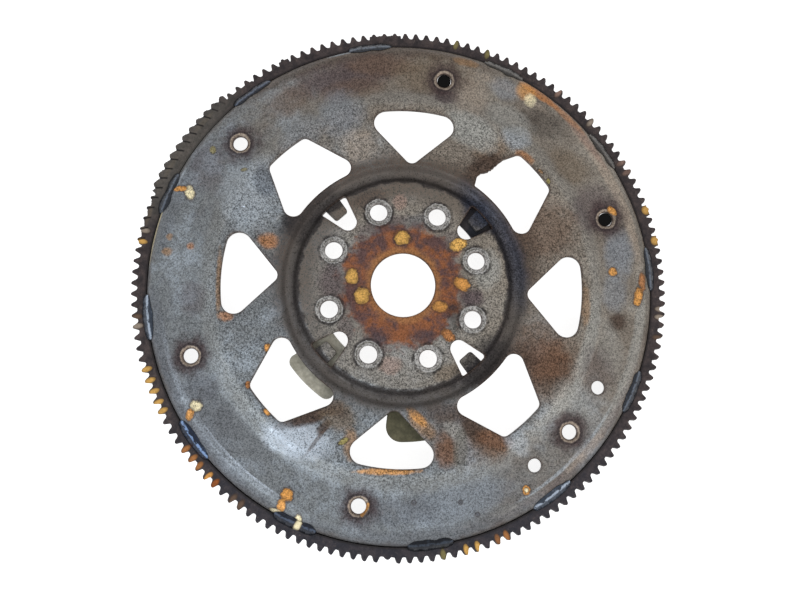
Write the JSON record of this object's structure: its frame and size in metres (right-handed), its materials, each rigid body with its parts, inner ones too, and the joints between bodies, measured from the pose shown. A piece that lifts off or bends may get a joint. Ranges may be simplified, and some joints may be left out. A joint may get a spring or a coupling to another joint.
{
  "type": "flexplate",
  "caption": "Stamped steel drive plate with a toothed starter ring gear welded to its rim, lightening windows and bolt holes round a central bore.",
  "frame": {"origin": "on the axis of the plate, level with the back face of the ring gear that the part lies on", "axes": "+Z along the axis, out of the hub face that shows, away from the engine; +Y towards the top of the picture, +X to its right"},
  "size_m": [0.326, 0.326, 0.0236],
  "materials": {
    "plate_steel": "worn bare steel, grimy, rusty at the hub",
    "gear_steel": "dark oily steel with rust between the teeth",
    "weld_steel": "dark glossy weld metal",
    "pad_steel": "dull olive-grey steel",
    "old_grease": "hardened black grease"
  },
  "bodies": {
    "root": {"stamped_plate": "plate_steel", "ring_gear": "gear_steel", "weld_bead_01": "weld_steel", "weld_bead_02": "weld_steel", "weld_bead_03": "weld_steel", "weld_bead_04": "weld_steel", "weld_bead_05": "weld_steel", "weld_bead_06": "weld_steel", "weld_bead_07": "weld_steel", "weld_bead_08": "weld_steel", "weld_bead_09": "weld_steel", "weld_bead_10": "weld_steel", "weld_bead_11": "weld_steel", "weld_bead_12": "weld_steel", "balance_pad_lower_left": "pad_steel", "balance_pad_bottom": "pad_steel", "balance_pad_upper_right": "pad_steel", "grease_plug_right": "old_grease", "grease_plug_top": "old_grease"}
  },
  "joints": []
}
